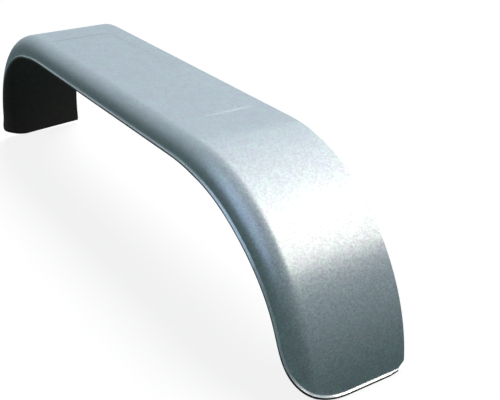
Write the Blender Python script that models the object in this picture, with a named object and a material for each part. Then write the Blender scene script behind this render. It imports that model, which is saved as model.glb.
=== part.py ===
"""Pressed sheet-steel mudguard for a trailer with two axles.

The guard is one piece of galvanised sheet. Its flat top bends down through a
quarter circle to each end. Along the outer side a rounded shoulder turns down
into a shallow skirt, and a narrow lip stands out along the skirt, round the
large lower corners and along both ends. The inner side is a plain cut edge.

Frame: +X along the trailer, -Y to its outside, +Z up. The origin is the middle
of the footprint, at the level that the two ends stand on. Lengths in metres.
"""

import math

import bmesh
import bpy
from mathutils import Vector

# Driving dimensions of the guard, all on the outer face of the sheet
GUARD_WIDTH = 0.230       # skirt's outer face to the inner edge
FLAT_LENGTH = 0.778       # straight top, between the two end bends
BEND_RADIUS = 0.364       # each end's quarter circle
TAIL_LENGTH = 0.001       # straight run below each bend, down to the lip's fillet
SHOULDER_RADIUS = 0.037   # quarter round between top and skirt
SKIRT_STRAIGHT = 0.001    # straight part of the skirt, down to the lip's fillet
LIP_FILLET = 0.0045       # hollow bend between the body and the lip
LIP_FLANGE = 0.0035       # flat part of the lip, beyond its fillet
LIP_END_SNIP = 0.003      # how far the lip's outer corner is cut back at its two ends
OUTER_CORNER = 0.120      # large rounding of the lower corners on the skirt side
INNER_CORNER = 0.016      # small rounding of the lower corners on the inner side
SHEET_THICKNESS = 0.0016

# Fineness of the mesh
FLAT_STEP = 0.200                   # along the straight top
BEND_STEP = math.radians(5.0)       # along the end bends
SHOULDER_STEP = math.radians(11.25)
PLAIN_STEP = 0.065                  # across the plain top
OUTER_CORNER_STEP = 0.0125
INNER_CORNER_STEP = 0.008
LIP_FILLET_STEPS = 3

# Finish of the sheet
ZINC_COLOUR = (0.43, 0.48, 0.51, 1.0)
ZINC_METALLIC = 0.75
ZINC_ROUGHNESS = 0.45
UNDERSIDE_COLOUR = (0.012, 0.013, 0.013, 1.0)
UNDERSIDE_ROUGHNESS = 0.7

# Sizes that follow from the driving dimensions
QUARTER = math.pi / 2
LIP_WIDTH = LIP_FILLET + LIP_FLANGE
BEND_START = FLAT_LENGTH / 2
BEND_END = BEND_START + BEND_RADIUS * QUARTER
HALF_BLANK = BEND_END + TAIL_LENGTH
SHOULDER_START = GUARD_WIDTH - SHOULDER_RADIUS
SHOULDER_END = SHOULDER_START + SHOULDER_RADIUS * QUARTER
BLANK_WIDTH = SHOULDER_END + SKIRT_STRAIGHT
INNER_EDGE_Y = (GUARD_WIDTH + LIP_WIDTH) / 2
BEND_CENTRE_Z = TAIL_LENGTH + LIP_FILLET + SHEET_THICKNESS


def stations(spans):
    """Steps between the ends of all spans, no longer than the finest span there."""
    ends = sorted({round(end, 6) for span in spans for end in span[:2]})
    points = [ends[0]]
    for low, high in zip(ends, ends[1:]):
        middle = (low + high) / 2
        step = min(span[2] for span in spans if span[0] <= middle <= span[1])
        count = math.ceil((high - low) / step - 1e-6)
        points += [low + (high - low) * (i + 1) / count for i in range(count)]
    return points


def stations_along():
    """Stations along the blank, from one end to the other."""
    half = stations([
        (0.0, BEND_START, FLAT_STEP),
        (BEND_START, HALF_BLANK, BEND_RADIUS * BEND_STEP),
        (HALF_BLANK - OUTER_CORNER, HALF_BLANK, OUTER_CORNER_STEP),
        (HALF_BLANK - INNER_CORNER, HALF_BLANK, INNER_CORNER_STEP),
    ])
    return [-place for place in reversed(half[1:])] + half


def stations_across():
    """Stations across the blank, from the inner edge to the skirt's lower edge."""
    return stations([
        (0.0, BLANK_WIDTH, PLAIN_STEP),
        (0.0, INNER_CORNER, INNER_CORNER_STEP),
        (BLANK_WIDTH - OUTER_CORNER, BLANK_WIDTH, OUTER_CORNER_STEP),
        (SHOULDER_START, SHOULDER_END, SHOULDER_RADIUS * SHOULDER_STEP),
    ])


def round_corner(along, across, radius):
    """Move a point of a square corner zone into the quarter disc that rounds it.

    Both distances run from the zone's inner corner towards the blank's edges.
    """
    u = along / radius
    v = across / radius
    return (radius * u * math.sqrt(1 - v * v / 2), radius * v * math.sqrt(1 - u * u / 2))


def cut_blank(along, across):
    """Where a point of the plain rectangle lies on the blank with rounded corners."""
    side = math.copysign(1.0, along)
    reach = abs(along)
    outer = (reach - (HALF_BLANK - OUTER_CORNER), across - (BLANK_WIDTH - OUTER_CORNER))
    inner = (reach - (HALF_BLANK - INNER_CORNER), INNER_CORNER - across)
    if min(outer) > 0:
        shift = round_corner(*outer, OUTER_CORNER)
        return side * (reach - outer[0] + shift[0]), across - outer[1] + shift[1]
    if min(inner) > 0:
        shift = round_corner(*inner, INNER_CORNER)
        return side * (reach - inner[0] + shift[0]), across + inner[1] - shift[1]
    return along, across


def press(along, across):
    """Point of the pressed guard's outer face, and the face's normal there."""
    turn = min(max((across - SHOULDER_START) / SHOULDER_RADIUS, 0.0), QUARTER)
    past_shoulder = max(across - SHOULDER_END, 0.0)
    y = INNER_EDGE_Y - min(across, SHOULDER_START) - SHOULDER_RADIUS * math.sin(turn)
    depth = SHOULDER_RADIUS * (1 - math.cos(turn)) + past_shoulder

    side = math.copysign(1.0, along)
    reach = abs(along)
    bend = min(max((reach - BEND_START) / BEND_RADIUS, 0.0), QUARTER)
    past_bend = max(reach - BEND_END, 0.0)
    radius = BEND_RADIUS - depth
    x = min(reach, BEND_START) + radius * math.sin(bend)
    z = BEND_CENTRE_Z + radius * math.cos(bend) - past_bend

    normal = Vector((
        side * math.sin(bend) * math.cos(turn),
        -math.sin(turn),
        math.cos(bend) * math.cos(turn),
    ))
    return Vector((side * x, y, z)), normal


def lip_profile():
    """Steps of the lip's section: distance past the body's edge, distance out of it."""
    steps = []
    for i in range(1, LIP_FILLET_STEPS + 1):
        turn = QUARTER * i / LIP_FILLET_STEPS
        steps.append((LIP_FILLET * math.sin(turn), LIP_FILLET * (1 - math.cos(turn))))
    steps.append((LIP_FILLET, LIP_WIDTH))
    return steps


def add_body(bm):
    """The pressed body without its lip. Returns its grid of vertices and their normals."""
    along_stations = stations_along()
    across_stations = stations_across()
    grid = []
    normals = {}
    for along in along_stations:
        row = []
        for across in across_stations:
            point, normal = press(*cut_blank(along, across))
            vertex = bm.verts.new(point)
            normals[vertex] = normal
            row.append(vertex)
        grid.append(row)
    for row, next_row in zip(grid, grid[1:]):
        for j in range(len(row) - 1):
            bm.faces.new((row[j], row[j + 1], next_row[j + 1], next_row[j]))
    return grid, normals


def lip_line(grid):
    """Vertices that carry the lip: along one end, the skirt, and the other end."""
    first = next(j for j, across in enumerate(stations_across()) if across >= INNER_CORNER - 1e-6)
    start = grid[0][first:-1]
    skirt = [row[-1] for row in grid]
    end = grid[-1][-2:first - 1:-1]
    return start + skirt + end


def add_lip(bm, grid, normals):
    """Turn the lip outwards along the body's edge."""
    line = lip_line(grid)
    places = [vertex.co.copy() for vertex in line]
    rings = [line]
    for past, out in lip_profile():
        ring = []
        for i, vertex in enumerate(line):
            run = places[min(i + 1, len(line) - 1)] - places[max(i - 1, 0)]
            run.normalize()
            normal = normals[vertex]
            down = run.cross(normal).normalized()
            snip = LIP_END_SNIP * out / LIP_WIDTH
            slide = snip * ((i == 0) - (i == len(line) - 1))
            ring.append(bm.verts.new(places[i] + past * down + out * normal + slide * run))
        rings.append(ring)
    for ring, next_ring in zip(rings, rings[1:]):
        for i in range(len(line) - 1):
            bm.faces.new((ring[i], next_ring[i], next_ring[i + 1], ring[i + 1]))


def make_material(name, colour, metallic, roughness):
    """Principled material."""
    material = bpy.data.materials.new(name)
    material.use_nodes = True
    shader = material.node_tree.nodes["Principled BSDF"]
    shader.inputs["Base Color"].default_value = colour
    shader.inputs["Metallic"].default_value = metallic
    shader.inputs["Roughness"].default_value = roughness
    material.diffuse_color = colour
    return material


def make_guard():
    """The whole guard: its outer face in mesh, thickened inwards."""
    bm = bmesh.new()
    grid, normals = add_body(bm)
    add_lip(bm, grid, normals)
    mesh = bpy.data.meshes.new("mudguard")
    bm.to_mesh(mesh)
    bm.free()
    mesh.materials.append(make_material(
        "galvanised_sheet", ZINC_COLOUR, ZINC_METALLIC, ZINC_ROUGHNESS))
    mesh.materials.append(make_material(
        "dark_underside", UNDERSIDE_COLOUR, 0.0, UNDERSIDE_ROUGHNESS))
    mesh.shade_smooth()
    mesh.set_sharp_from_angle(angle=math.radians(40))

    guard = bpy.data.objects.new("mudguard", mesh)
    bpy.context.collection.objects.link(guard)
    sheet = guard.modifiers.new("Sheet thickness", "SOLIDIFY")
    sheet.thickness = SHEET_THICKNESS
    sheet.offset = -1.0
    sheet.use_even_offset = True
    sheet.use_quality_normals = True
    sheet.material_offset = 1
    return guard


def main():
    for old in list(bpy.data.objects):
        bpy.data.objects.remove(old, do_unlink=True)
    make_guard()


main()
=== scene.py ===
"""The looks of a galvanised trailer mudguard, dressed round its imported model."""

import math

import bmesh
import bpy
from mathutils import Matrix, Vector, noise


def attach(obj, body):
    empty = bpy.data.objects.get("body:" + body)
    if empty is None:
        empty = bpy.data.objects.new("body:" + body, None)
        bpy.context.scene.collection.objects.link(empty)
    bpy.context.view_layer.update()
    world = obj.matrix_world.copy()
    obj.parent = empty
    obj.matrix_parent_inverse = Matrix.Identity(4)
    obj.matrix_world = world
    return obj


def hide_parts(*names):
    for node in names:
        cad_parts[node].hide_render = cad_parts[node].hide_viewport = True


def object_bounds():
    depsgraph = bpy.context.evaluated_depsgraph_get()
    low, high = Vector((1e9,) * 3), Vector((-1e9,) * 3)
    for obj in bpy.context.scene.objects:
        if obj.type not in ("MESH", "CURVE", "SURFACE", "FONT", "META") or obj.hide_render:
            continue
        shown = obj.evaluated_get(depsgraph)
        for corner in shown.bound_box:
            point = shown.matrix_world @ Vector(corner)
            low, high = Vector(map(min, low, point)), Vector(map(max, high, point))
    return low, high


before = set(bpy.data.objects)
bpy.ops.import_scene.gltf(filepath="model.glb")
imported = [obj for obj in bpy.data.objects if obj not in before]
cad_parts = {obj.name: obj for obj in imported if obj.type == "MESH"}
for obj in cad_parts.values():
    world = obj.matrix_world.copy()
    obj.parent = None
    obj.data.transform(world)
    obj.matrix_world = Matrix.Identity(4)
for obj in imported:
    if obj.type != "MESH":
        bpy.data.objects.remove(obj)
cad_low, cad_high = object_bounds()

QUARTER = math.pi / 2
WHITE = (1.0, 1.0, 1.0)
TOLERANCE = 1e-6

# Sizes of the sheet, in metres. Its near end is at +X, and its two ends are cut differently.
BEND_RADIUS = 0.364         # each end's quarter circle
TAIL_LENGTH = 0.0003        # straight run below each bend
SHOULDER_RADIUS = 0.037     # quarter round between top and skirt
SKIRT_STRAIGHT = 0.0003     # straight run below the shoulder
LIP_ROOM = 0.0065           # between the body's face and the model's box
NEAR_OUTER_CORNER = 0.127   # large rounding of the corner between end and skirt
FAR_OUTER_CORNER = 0.094
INNER_CORNER = 0.012        # straight snip of the near end's inner corner
FAR_END_SLANT = 0.009       # how much higher the far end's edge is at its inner corner
SLANT_RUN = 0.100           # how far up the sheet from that edge the slant dies away
SHEET_THICKNESS = 0.0016

# The lip's section: a tight fold outwards, a flange, and a rim curled down, made near-black for
# its cut edge and as painted shade under the lip
LIP_FOLD_RADIUS = 0.0012
LIP_FOLD = math.radians(56)
LIP_FLANGE = 0.0034
LIP_CURL_RADIUS = 0.0018
LIP_CURL = math.radians(66)
LIP_HEM = 0.0027
LIP_END_SNIP = 0.006        # cut-back of its near end, for each LIP_ROOM that it reaches out
LIP_END_TAPER = 0.022       # how far before that end the flange starts to narrow
LIP_END_SHARE = 0.20        # share of the flange's width that is left there

# Sizes that follow from those and from the model's box
INNER_EDGE_Y = cad_high.y
TOP_Z = cad_high.z
BEND_START = cad_high.x - BEND_RADIUS - LIP_ROOM
BEND_END = BEND_START + BEND_RADIUS * QUARTER
HALF_BLANK = BEND_END + TAIL_LENGTH
GUARD_WIDTH = 2 * INNER_EDGE_Y - LIP_ROOM
SHOULDER_START = GUARD_WIDTH - SHOULDER_RADIUS
SHOULDER_END = SHOULDER_START + SHOULDER_RADIUS * QUARTER
BLANK_WIDTH = SHOULDER_END + SKIRT_STRAIGHT

# The press leaves a faint raised pad on the flat top, crisp at its ends and soft along its side
PAD_HEIGHT = 0.0010
PAD_NEAR = 0.300            # from the middle of the guard to the pad's near end
PAD_FAR = 0.351
PAD_INSET = 0.041           # from the inner edge to the pad's side, at its far end
NEAR_PAD_INSET = 0.027
PAD_CORNER = 0.022
PAD_STEP_WIDTH = 0.0090
PAD_SOFT_WIDTH = 0.050
PAD_SOFT_RUN = 0.260        # from the pad's far end to where its side is softest

# Towards the shoulder the pad fades out, and at its near end more slowly
FADE_END = 0.199            # from the inner edge to where the pad is gone
NEAR_FADE_END = 0.188
FADE_WIDTH = 0.030
NEAR_FADE_WIDTH = 0.130

# Painted highlight and shade along the pad's step: how much lighter the zinc is painted at its
# near end, and darker at its far end and side
NEAR_STEP_HIGHLIGHT = 0.10
FAR_STEP_SHADE = -0.62
SIDE_STEP_SHADE = -0.20

# Bending crowds the metal of the skirt, so that the shoulder swells out and down there
NEAR_SWELL = (0.0033, 0.0025)
FAR_SWELL = (0.0, 0.0062)
SWELL_SPAN = (0.340, 0.805)
SWELL_RISE = 0.105
SWELL_FALL = 0.230

# Slow waves that a pressed sheet always has, dying away over a margin at its edges
WAVE_HEIGHT = 0.00012
WAVE_LENGTH = 0.16
WAVE_MARGIN = 0.041

# Pressing coarsens the zinc's grain on the bends, and the lip is painted lighter and greyer:
# painted light that lifts it out of the body's shade
STRETCH_RUN = 0.28
LIP_PAINTED_LIGHT = 0.50
LIP_SATURATION = 0.72

# Fineness of the mesh
FLAT_STEP = 0.020
BEND_STEP = math.radians(1.5)
SHOULDER_STEP = math.radians(3.75)
PLAIN_STEP = 0.015
CORNER_STEP = 0.004
PAD_EDGE_STEP = 0.0008
PAD_EDGE_REACH = 1.5 * PAD_STEP_WIDTH
PAD_CORNER_STEP = 0.0016
LIP_FOLD_STEPS = 4
LIP_CURL_STEPS = 6
LIP_DARK_STEPS = 5          # last steps of the lip, near-black like the inner face: its cut edge, and painted shade under the lip
EDGE_ROUNDING = 0.0003
EDGE_SEGMENTS = 2
EDGE_ANGLE = math.radians(60)


def stations(spans):
    """Steps between the ends of all spans, no longer than the finest span there."""
    ends = sorted({round(end, 6) for span in spans for end in span[:2]})
    points = [ends[0]]
    for low, high in zip(ends, ends[1:]):
        middle = (low + high) / 2
        step = min(span[2] for span in spans if span[0] <= middle <= span[1])
        count = math.ceil((high - low) / step - TOLERANCE)
        points += [low + (high - low) * (i + 1) / count for i in range(count)]
    return points


def stations_along():
    """Stations along the blank, from the far end to the near one."""
    spans = [(-BEND_START, BEND_START, FLAT_STEP)]
    for side in (-1, 1):
        for start, step in (
            (BEND_START, BEND_RADIUS * BEND_STEP),
            (HALF_BLANK - NEAR_OUTER_CORNER, CORNER_STEP),
            (HALF_BLANK - FAR_OUTER_CORNER, CORNER_STEP),
            (HALF_BLANK - INNER_CORNER, CORNER_STEP),
        ):
            spans.append((*sorted((side * start, side * HALF_BLANK)), step))
    for edge in (-PAD_FAR, PAD_NEAR):
        spans.append((edge - PAD_EDGE_REACH, edge + PAD_EDGE_REACH, PAD_EDGE_STEP))
    spans.append((-PAD_FAR, -PAD_FAR + PAD_CORNER, PAD_CORNER_STEP))
    return stations(spans)


def stations_across():
    """Stations across the blank, from the inner edge to the skirt's lower edge."""
    return stations([
        (0.0, BLANK_WIDTH, PLAIN_STEP),
        (0.0, INNER_CORNER, CORNER_STEP),
        (PAD_INSET - PAD_EDGE_REACH, PAD_INSET + PAD_EDGE_REACH, PAD_EDGE_STEP),
        (PAD_INSET, PAD_INSET + PAD_CORNER, PAD_CORNER_STEP),
        (BLANK_WIDTH - NEAR_OUTER_CORNER, BLANK_WIDTH, CORNER_STEP),
        (BLANK_WIDTH - FAR_OUTER_CORNER, BLANK_WIDTH, CORNER_STEP),
        (SHOULDER_START, SHOULDER_END, SHOULDER_RADIUS * SHOULDER_STEP),
    ])


def round_corner(along, across, radius):
    """Move a point of a square corner zone into the quarter disc that rounds it."""
    u = along / radius
    v = across / radius
    return (radius * u * math.sqrt(1 - v * v / 2), radius * v * math.sqrt(1 - u * u / 2))


def snip_corner(along, across):
    """Move a point of a square corner zone into the triangle that a straight snip leaves."""
    shrink = max(along, across) / (along + across)
    return (along * shrink, across * shrink)


def cut_blank(along, across):
    """Where a point of the plain rectangle lies on the blank with its corners and ends cut."""
    side = math.copysign(1.0, along)
    reach = abs(along)
    radius = NEAR_OUTER_CORNER if along > 0 else FAR_OUTER_CORNER
    outer = (reach - (HALF_BLANK - radius), across - (BLANK_WIDTH - radius))
    inner = (along - (HALF_BLANK - INNER_CORNER), INNER_CORNER - across)
    if min(outer) > 0:
        shift = round_corner(*outer, radius)
        return side * (reach - outer[0] + shift[0]), across - outer[1] + shift[1]
    if min(inner) > 0:
        shift = snip_corner(*inner)
        return along - inner[0] + shift[0], across + inner[1] - shift[1]
    if along < 0:
        inwards = max(1 - across / (BLANK_WIDTH - radius), 0.0)
        endwards = max(1 - (HALF_BLANK - reach) / SLANT_RUN, 0.0)
        return along + FAR_END_SLANT * inwards * endwards, across
    return along, across


def mix(first, second, share):
    """Value between two others."""
    return first + (second - first) * share


def smooth(value):
    """Smooth step from 0 to 1."""
    value = min(max(value, 0.0), 1.0)
    return value * value * (3 - 2 * value)


def pad(along, across):
    """Height of the raised pad at a point of the blank, and the painted highlight and shade of
    the line round it.
    """
    to_near = smooth((along + PAD_NEAR) / (2 * PAD_NEAR))
    past_end = max(along - PAD_NEAR, -PAD_FAR - along)
    past_side = mix(PAD_INSET, NEAR_PAD_INSET, to_near) - across
    corner = (past_end + PAD_CORNER, past_side + PAD_CORNER)
    outside = math.hypot(max(corner[0], 0.0), max(corner[1], 0.0))
    past = outside + min(max(corner), 0.0) - PAD_CORNER

    softness = smooth(-past_end / PAD_SOFT_RUN) if along < 0 else 1.0
    along_side = smooth((past_side - past_end) / PAD_CORNER + 1)
    width = mix(PAD_STEP_WIDTH, PAD_SOFT_WIDTH, softness * along_side)
    fade_end = mix(FADE_END, NEAR_FADE_END, to_near)
    fade_width = mix(FADE_WIDTH, NEAR_FADE_WIDTH, to_near)
    fade = smooth((fade_end - across) / fade_width)

    share = smooth(0.5 - past / width)
    line = 4 * share * (1 - share) * PAD_STEP_WIDTH / width * fade
    # painted highlight at the pad's near end, painted shade at its far end and side
    painted_light = NEAR_STEP_HIGHLIGHT if along > 0 else mix(FAR_STEP_SHADE, SIDE_STEP_SHADE, along_side)
    return PAD_HEIGHT * share * fade, line * painted_light


def wave(point, to_edge):
    """Small height of the slow waves at a point that is some way off the sheet's edge."""
    return WAVE_HEIGHT * noise.noise(point / WAVE_LENGTH) * smooth(to_edge / WAVE_MARGIN)


def swell(along):
    """How far the shoulder swells out and down at a place along the blank."""
    start, end = SWELL_SPAN
    reach = abs(along)
    share = smooth((reach - start) / SWELL_RISE) * smooth((end - reach) / SWELL_FALL)
    return [share * size for size in (NEAR_SWELL if along > 0 else FAR_SWELL)]


def press(along, across):
    """Point of the pressed guard's outer face, and the face's normal there."""
    side = math.copysign(1.0, along)
    reach = abs(along)
    shoulder_out, shoulder_down = (SHOULDER_RADIUS + size for size in swell(along))
    turn = min(max((across - SHOULDER_START) / SHOULDER_RADIUS, 0.0), QUARTER)
    past_shoulder = max(across - SHOULDER_END, 0.0)
    y = INNER_EDGE_Y - min(across, SHOULDER_START) - shoulder_out * math.sin(turn)
    depth = shoulder_down * (1 - math.cos(turn)) + past_shoulder

    bend = min(max((reach - BEND_START) / BEND_RADIUS, 0.0), QUARTER)
    past_bend = max(reach - BEND_END, 0.0)
    radius = BEND_RADIUS - depth
    x = min(reach, BEND_START) + radius * math.sin(bend)
    z = TOP_Z - BEND_RADIUS + radius * math.cos(bend) - past_bend

    normal = Vector((
        side * math.sin(bend) * math.cos(turn),
        -math.sin(turn),
        math.cos(bend) * math.cos(turn),
    ))
    return Vector((side * x, y, z)), normal


def add_body(bm):
    """The pressed body without its lip. Returns its grid of vertices and their normals."""
    across_stations = stations_across()
    painted_light_layer = bm.verts.layers.float.new("painted_light")
    stretch_layer = bm.verts.layers.float.new("stretch")
    grid = []
    normals = {}
    for along in stations_along():
        row = []
        for across in across_stations:
            place = cut_blank(along, across)
            point, normal = press(*place)
            to_edge = min(across, BLANK_WIDTH - across, HALF_BLANK - abs(along))
            height, painted_light = pad(*place)
            height += wave(point, to_edge)
            vertex = bm.verts.new(point + height * normal)
            # painted highlight and shade of the pad's step, kept on the mesh
            vertex[painted_light_layer] = painted_light
            bent = max(abs(place[0]) - BEND_START, place[1] - SHOULDER_START)
            vertex[stretch_layer] = min(max(bent / STRETCH_RUN, 0.0), 1.0)
            normals[vertex] = normal
            row.append(vertex)
        grid.append(row)
    for row, next_row in zip(grid, grid[1:]):
        for j in range(len(row) - 1):
            bm.faces.new((row[j], row[j + 1], next_row[j + 1], next_row[j]))
    return grid, normals


def lip_profile(flange):
    """Steps of the lip's section: distance past the body's edge, distance out of it."""
    steps = []
    past = out = heading = 0.0
    for length, turn, count in (
        (LIP_FOLD_RADIUS * LIP_FOLD, LIP_FOLD, LIP_FOLD_STEPS),
        (flange, 0.0, 1),
        (LIP_CURL_RADIUS * LIP_CURL, -LIP_CURL, LIP_CURL_STEPS),
        (LIP_HEM, 0.0, 1),
    ):
        for _ in range(count):
            heading += turn / count / 2
            past += length / count * math.cos(heading)
            out += length / count * math.sin(heading)
            heading += turn / count / 2
            steps.append((past, out))
    return steps


def lip_line(grid):
    """Vertices that carry the lip: the far end, the skirt, and the near end up to its snip."""
    first = next(
        j for j, across in enumerate(stations_across()) if across >= INNER_CORNER - TOLERANCE)
    return grid[0][:-1] + [row[-1] for row in grid] + grid[-1][-2:first - 1:-1]


def add_lip(bm, grid, normals):
    """Turn the lip outwards along one end, the skirt, and the other end."""
    line = lip_line(grid)
    last = len(line) - 1
    places = [vertex.co.copy() for vertex in line]
    painted_light_layer = bm.verts.layers.float["painted_light"]
    stretch_layer = bm.verts.layers.float["stretch"]
    sections = []
    for i, vertex in enumerate(line):
        run = (places[min(i + 1, last)] - places[max(i - 1, 0)]).normalized()
        normal = normals[vertex]
        down = run.cross(normal).normalized()
        to_end = (places[i] - places[last]).length
        share = mix(LIP_END_SHARE, 1.0, min(to_end / LIP_END_TAPER, 1.0))
        snip = LIP_END_SNIP / LIP_ROOM if i == last else 0.0
        section = [vertex]
        for past, out in lip_profile(LIP_FLANGE * share):
            edge = bm.verts.new(places[i] + past * down + out * normal - snip * out * run)
            # the lip is painted lighter: painted light, since the body shades it from the
            # overhead sun
            edge[painted_light_layer] = LIP_PAINTED_LIGHT
            edge[stretch_layer] = 1.0
            section.append(edge)
        sections.append(section)
    rings = list(zip(*sections))
    first_dark = len(rings) - 1 - LIP_DARK_STEPS
    for number, (ring, next_ring) in enumerate(zip(rings, rings[1:])):
        for i in range(last):
            face = bm.faces.new((ring[i], next_ring[i], next_ring[i + 1], ring[i + 1]))
            # the lip's last rings are near-black: the cut edge, and painted shade under the lip
            face.material_index = int(number >= first_dark)


class Nodes:
    """Short calls for building a material's nodes."""

    def __init__(self, name):
        self.material = bpy.data.materials.new(name)
        self.material.use_nodes = True
        self.tree = self.material.node_tree
        self.shader = self.tree.nodes["Principled BSDF"]

    def add(self, kind, inputs=None, **settings):
        """A node with its settings and its inputs' values or links."""
        node = self.tree.nodes.new(kind)
        for key, value in settings.items():
            setattr(node, key, value)
        for key, value in (inputs or {}).items():
            self.put(node, key, value)
        return node

    def put(self, node, key, value):
        """Set an input to a value, or link it to a node's output."""
        if isinstance(value, bpy.types.NodeSocket):
            self.tree.links.new(value, node.inputs[key])
        else:
            node.inputs[key].default_value = value

    def place(self):
        """Place on the object, in metres."""
        return self.add("ShaderNodeTexCoord").outputs["Object"]

    def attribute(self, name):
        """Value that the mesh holds at each vertex."""
        return self.add("ShaderNodeAttribute", attribute_name=name).outputs["Fac"]

    def noise(self, place, scale, detail, roughness):
        """Noise with about one blob for each 1/scale metres."""
        return self.add("ShaderNodeTexNoise", {
            "Vector": place, "Scale": scale, "Detail": detail, "Roughness": roughness,
        }).outputs["Fac"]

    def math(self, operation, first, second):
        """Result of one operation on two numbers or links."""
        return self.add("ShaderNodeMath", {0: first, 1: second}, operation=operation).outputs[0]

    def spread(self, value, low, high, from_low=0.0, from_high=1.0):
        """Map a value from one range to another."""
        return self.add("ShaderNodeMapRange", {
            "Value": value, "From Min": from_low, "From Max": from_high,
            "To Min": low, "To Max": high,
        }).outputs["Result"]

    def blend(self, share, first, second):
        """Colour between two others."""
        return self.add("ShaderNodeMix", {
            "Factor": share, "A": (*first, 1.0), "B": (*second, 1.0),
        }, data_type="RGBA").outputs[2]

    def relief(self, height, strength, depth):
        """Fine relief from a height between 0 and 1."""
        self.put(self.shader, "Normal", self.add("ShaderNodeBump", {
            "Strength": strength, "Distance": depth, "Height": height,
        }).outputs["Normal"])


# Finish of the zinc. A noise is its scale, detail and roughness, a relief its strength and depth.
ZINC_COLOUR = (0.440, 0.520, 0.585)
ZINC_METALLIC = 0.09
ZINC_ROUGHNESS = (0.26, 0.37)
GRAIN_NOISE = (560, 3, 0.7)
GRAIN_NOISE_SHARE = 0.6
SPANGLE_SCALE = 380
SPANGLE_SHARE = 0.4
FLAT_GRAIN = 0.40
BENT_GRAIN = 0.84
BLOTCH_NOISE = (26, 3, 0.5)
BLOTCH_RANGE = (0.98, 1.02)
TINT_NOISE = (48, 3, 0.5)
TINT_HUES = (0.47, 0.53)
TINT_SPAN = (0.3, 0.7)
ZINC_RELIEF = (0.6, 0.0002)

# Look of the near-black inner face
UNDERSIDE_COLOUR = (0.025, 0.031, 0.032)
DUST_COLOUR = (0.047, 0.055, 0.056)
DUST_NOISE = (45, 4, 0.6)
DUST_SPAN = (0.35, 0.8)
STIPPLE_NOISE = (600, 2, 0.5)
UNDERSIDE_ROUGHNESS = (0.75, 0.95)
UNDERSIDE_SPECULAR = 0.15
UNDERSIDE_RELIEF = (0.4, 0.0003)


def zinc_material():
    """Galvanised sheet: fine mottled spangle in colour, gloss and relief, with painted highlight
    and shade on the pad's step and painted light on the lip.
    """
    n = Nodes("galvanised_sheet")
    place = n.place()
    spangle = n.add("ShaderNodeTexVoronoi", {"Vector": place, "Scale": SPANGLE_SCALE})
    cell = n.add("ShaderNodeSeparateColor", {0: spangle.outputs["Color"]}).outputs["Red"]
    grain = n.math(
        "ADD",
        n.math("MULTIPLY", n.noise(place, *GRAIN_NOISE), GRAIN_NOISE_SHARE),
        n.math("MULTIPLY", cell, SPANGLE_SHARE),
    )
    # painted light from the mesh: highlight and shade on the pad's step, and the lip painted
    # lighter
    painted_light = n.attribute("painted_light")
    contrast = n.spread(n.attribute("stretch"), FLAT_GRAIN, BENT_GRAIN)
    blotch = n.spread(n.noise(place, *BLOTCH_NOISE), *BLOTCH_RANGE)
    value = n.math("MULTIPLY", n.math("SUBTRACT", grain, 0.5), contrast)
    value = n.math("ADD", n.math("ADD", value, painted_light), blotch)
    n.put(n.shader, "Base Color", n.add("ShaderNodeHueSaturation", {
        "Hue": n.spread(n.noise(place, *TINT_NOISE), *TINT_HUES, *TINT_SPAN),
        # the painted-light lip is also greyed, against the blue of the cool card
        "Saturation": n.spread(painted_light, 1.0, LIP_SATURATION, 0.0, LIP_PAINTED_LIGHT),
        "Value": value,
        "Color": (*ZINC_COLOUR, 1.0),
    }).outputs["Color"])
    n.put(n.shader, "Roughness", n.spread(grain, *ZINC_ROUGHNESS))
    n.put(n.shader, "Metallic", ZINC_METALLIC)
    n.put(n.shader, "Specular IOR Level", 0.0)
    n.relief(grain, *ZINC_RELIEF)
    return n.material


def underside_material():
    """Near-black inner face, dull and a little dusty."""
    n = Nodes("dark_underside")
    place = n.place()
    dust = n.spread(n.noise(place, *DUST_NOISE), 0.0, 1.0, *DUST_SPAN)
    stipple = n.noise(place, *STIPPLE_NOISE)
    n.put(n.shader, "Base Color", n.blend(dust, UNDERSIDE_COLOUR, DUST_COLOUR))
    n.put(n.shader, "Roughness", n.spread(stipple, *UNDERSIDE_ROUGHNESS))
    n.put(n.shader, "Specular IOR Level", UNDERSIDE_SPECULAR)
    n.relief(stipple, *UNDERSIDE_RELIEF)
    return n.material


def make_guard():
    """The whole guard as one thickened sheet."""
    bm = bmesh.new()
    grid, normals = add_body(bm)
    add_lip(bm, grid, normals)
    mesh = bpy.data.meshes.new("guard_sheet")
    bm.to_mesh(mesh)
    bm.free()
    mesh.materials.append(zinc_material())
    mesh.materials.append(underside_material())
    mesh.shade_smooth()
    guard = bpy.data.objects.new("guard_sheet", mesh)
    bpy.context.collection.objects.link(guard)
    sheet = guard.modifiers.new("Sheet thickness", "SOLIDIFY")
    sheet.thickness = SHEET_THICKNESS
    sheet.offset = -1.0
    sheet.use_even_offset = True
    sheet.use_quality_normals = True
    sheet.material_offset = 1
    sheet.material_offset_rim = 1
    edges = guard.modifiers.new("Cut edges", "BEVEL")
    edges.width = EDGE_ROUNDING
    edges.segments = EDGE_SEGMENTS
    edges.limit_method = "ANGLE"
    edges.angle_limit = EDGE_ANGLE
    edges.harden_normals = True
    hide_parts("mudguard")
    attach(guard, "root")


# Plain white surroundings, which light the guard far less than they are seen
FLOOR_SIZE = 30.0
FLOOR_GAP = 0.0005
FLOOR_GLOW = 0.87
FLOOR_SEEN = (0.15, 0.15, 0.15)
FLOOR_BOUNCE = (0.085, 0.150, 0.110)
WORLD_FILL = (0.036, 0.062, 0.066)


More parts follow.
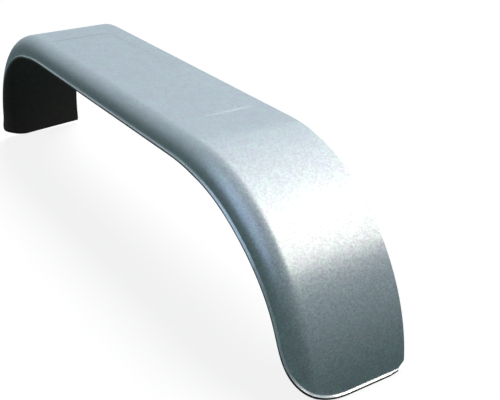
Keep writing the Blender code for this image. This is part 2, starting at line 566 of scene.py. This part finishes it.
def seen_directly(tree):
    """1 for the rays that show a background: camera, gloss and glass."""
    path = tree.nodes.new("ShaderNodeLightPath")
    total = path.outputs["Is Camera Ray"]
    for name in ("Is Glossy Ray", "Is Transmission Ray"):
        larger = tree.nodes.new("ShaderNodeMath")
        larger.operation = "MAXIMUM"
        tree.links.new(total, larger.inputs[0])
        tree.links.new(path.outputs[name], larger.inputs[1])
        total = larger.outputs[0]
    return total


def make_floor():
    """Plain white floor that keeps a soft shadow and gives little light back."""
    n = Nodes("floor")
    seen = seen_directly(n.tree)
    n.put(n.shader, "Base Color", n.blend(seen, FLOOR_BOUNCE, FLOOR_SEEN))
    n.put(n.shader, "Emission Strength", n.math("MULTIPLY", seen, FLOOR_GLOW))
    n.put(n.shader, "Emission Color", (*WHITE, 1.0))
    n.put(n.shader, "Roughness", 1.0)
    n.put(n.shader, "Specular IOR Level", 0.0)
    bpy.ops.mesh.primitive_plane_add(size=FLOOR_SIZE, location=(0, 0, cad_low.z - FLOOR_GAP))
    floor = bpy.context.object
    floor.name = "floor"
    floor.data.materials.append(n.material)


def make_world():
    """White backdrop, and a weak fill for everything that isn't a reflection."""
    world = bpy.data.worlds.new("studio")
    bpy.context.scene.world = world
    world.use_nodes = True
    tree = world.node_tree
    backdrop = tree.nodes.new("ShaderNodeMix")
    backdrop.data_type = "RGBA"
    backdrop.inputs["A"].default_value = (*WORLD_FILL, 1.0)
    backdrop.inputs["B"].default_value = (*WHITE, 1.0)
    tree.links.new(seen_directly(tree), backdrop.inputs["Factor"])
    tree.links.new(backdrop.outputs[2], tree.nodes["Background"].inputs["Color"])


# Soft suns, with the directions that their light comes from
SUN_FROM = (-0.11, 0.34, 0.93)
SUN_STRENGTH = 2.90
SUN_SOFTNESS = math.radians(28)
SIDE_FROM = (-0.35, -0.90, 0.15)
SIDE_STRENGTH = 0.10
SIDE_COLOUR = (0.70, 0.97, 1.0)

# Cards that only the gloss shows, placed from the middle of the near bend
BEND_MIDDLE = (0.7, 0.0, 0.7)   # from the bend's centre, in radii
CARD_HEIGHT = 2.0
CARD_REACH_Y = (0.26, 1.60)     # from and to, as shares of the height
CARDS = (
    # name, reach in X, radiance, colour
    ("faint_card", (-1.60, -0.62), 5.0, (1.0, 0.87, 0.78)),
    ("dim_card", (-0.62, -0.22), 8.8, (1.0, 0.85, 0.74)),
    ("middle_card", (-0.22, 0.07), 12.8, (1.0, 0.83, 0.70)),
    ("bright_card", (0.07, 1.19), 20.0, (1.0, 0.81, 0.67)),
)
SKY_FROM = (-0.13, -0.80, 0.58)
SKY_DISTANCE = 2.2
SKY_SIZE = (2.2, 1.7)
SKY_RADIANCE = 4.6
SKY_COLOUR = (0.62, 0.77, 1.0)


def add_lamp(name, kind, source):
    """A lamp whose light comes from one direction."""
    lamp = bpy.data.objects.new(name, bpy.data.lights.new(name, kind))
    lamp.rotation_mode = "QUATERNION"
    lamp.rotation_quaternion = Vector(source).to_track_quat("Z", "Y")
    bpy.context.collection.objects.link(lamp)
    return lamp


def add_sun(name, source, strength, colour):
    """A soft sun that reflections don't show."""
    sun = add_lamp(name, "SUN", source)
    sun.data.energy = strength
    sun.data.angle = SUN_SOFTNESS
    sun.data.color = colour
    sun.visible_glossy = False


def add_card(name, place, source, size, radiance, colour):
    """A flat card of light that only glossy reflections show."""
    card = add_lamp(name, "AREA", source)
    card.data.shape = "RECTANGLE"
    card.data.size, card.data.size_y = size
    card.data.energy = radiance * math.pi * size[0] * size[1]
    card.data.color = colour
    card.location = place
    card.visible_diffuse = False
    card.visible_camera = False


def make_lamps():
    """Soft lamps overhead and to the side, and cards that only the sheet's gloss shows."""
    add_sun("overhead", SUN_FROM, SUN_STRENGTH, WHITE)
    add_sun("side_fill", SIDE_FROM, SIDE_STRENGTH, SIDE_COLOUR)

    bend_centre = Vector((BEND_START, 0, TOP_Z - BEND_RADIUS))
    near_bend = bend_centre + Vector(BEND_MIDDLE) * BEND_RADIUS
    for name, reach_x, radiance, colour in CARDS:
        reaches = (reach_x, CARD_REACH_Y)
        middle = [sum(reach) / 2 * CARD_HEIGHT for reach in reaches]
        size = [(reach[1] - reach[0]) * CARD_HEIGHT for reach in reaches]
        place = near_bend + Vector((*middle, CARD_HEIGHT))
        add_card(name, place, (0, 0, 1), size, radiance, colour)
    place = near_bend + Vector(SKY_FROM).normalized() * SKY_DISTANCE
    add_card("cool_card", place, SKY_FROM, SKY_SIZE, SKY_RADIANCE, SKY_COLOUR)


# The camera: place in the model's frame, direction in degrees, and the photo's frame in pixels
CAMERA_PLACE = (1.7039, -0.7838, 0.9582)
CAMERA_AZIMUTH = 145.321
CAMERA_ELEVATION = 29.100
CAMERA_ROLL = 0.364
FOCAL_PIXELS = 878.7
CENTRE_PIXEL = (292.8, 253.7)
FRAME_PIXELS = (500, 400)
SENSOR_WIDTH = 36.0
CLIP_END = 100.0


def make_camera():
    """The photo's camera, turned and shifted as the photo's frame needs."""
    azimuth = math.radians(CAMERA_AZIMUTH)
    elevation = math.radians(CAMERA_ELEVATION)
    forward = Vector((
        math.cos(elevation) * math.cos(azimuth),
        math.cos(elevation) * math.sin(azimuth),
        -math.sin(elevation),
    ))
    right = forward.cross(Vector((0, 0, 1))).normalized()
    up = right.cross(forward)
    turned = Matrix((right, up, -forward)).transposed()
    roll = Matrix.Rotation(math.radians(CAMERA_ROLL), 3, "Z")
    camera = bpy.data.objects.new("camera", bpy.data.cameras.new("camera"))
    camera.matrix_world = Matrix.Translation(CAMERA_PLACE) @ (turned @ roll).to_4x4()
    width, height = FRAME_PIXELS
    camera.data.sensor_width = SENSOR_WIDTH
    camera.data.lens = FOCAL_PIXELS * SENSOR_WIDTH / width
    camera.data.shift_x = (width / 2 - CENTRE_PIXEL[0]) / width
    camera.data.shift_y = (CENTRE_PIXEL[1] - height / 2) / width
    camera.data.clip_end = CLIP_END
    bpy.context.collection.objects.link(camera)
    bpy.context.scene.camera = camera


make_camera()
make_guard()
make_floor()
make_world()
make_lamps()
bpy.context.scene.view_settings.view_transform = "Standard"
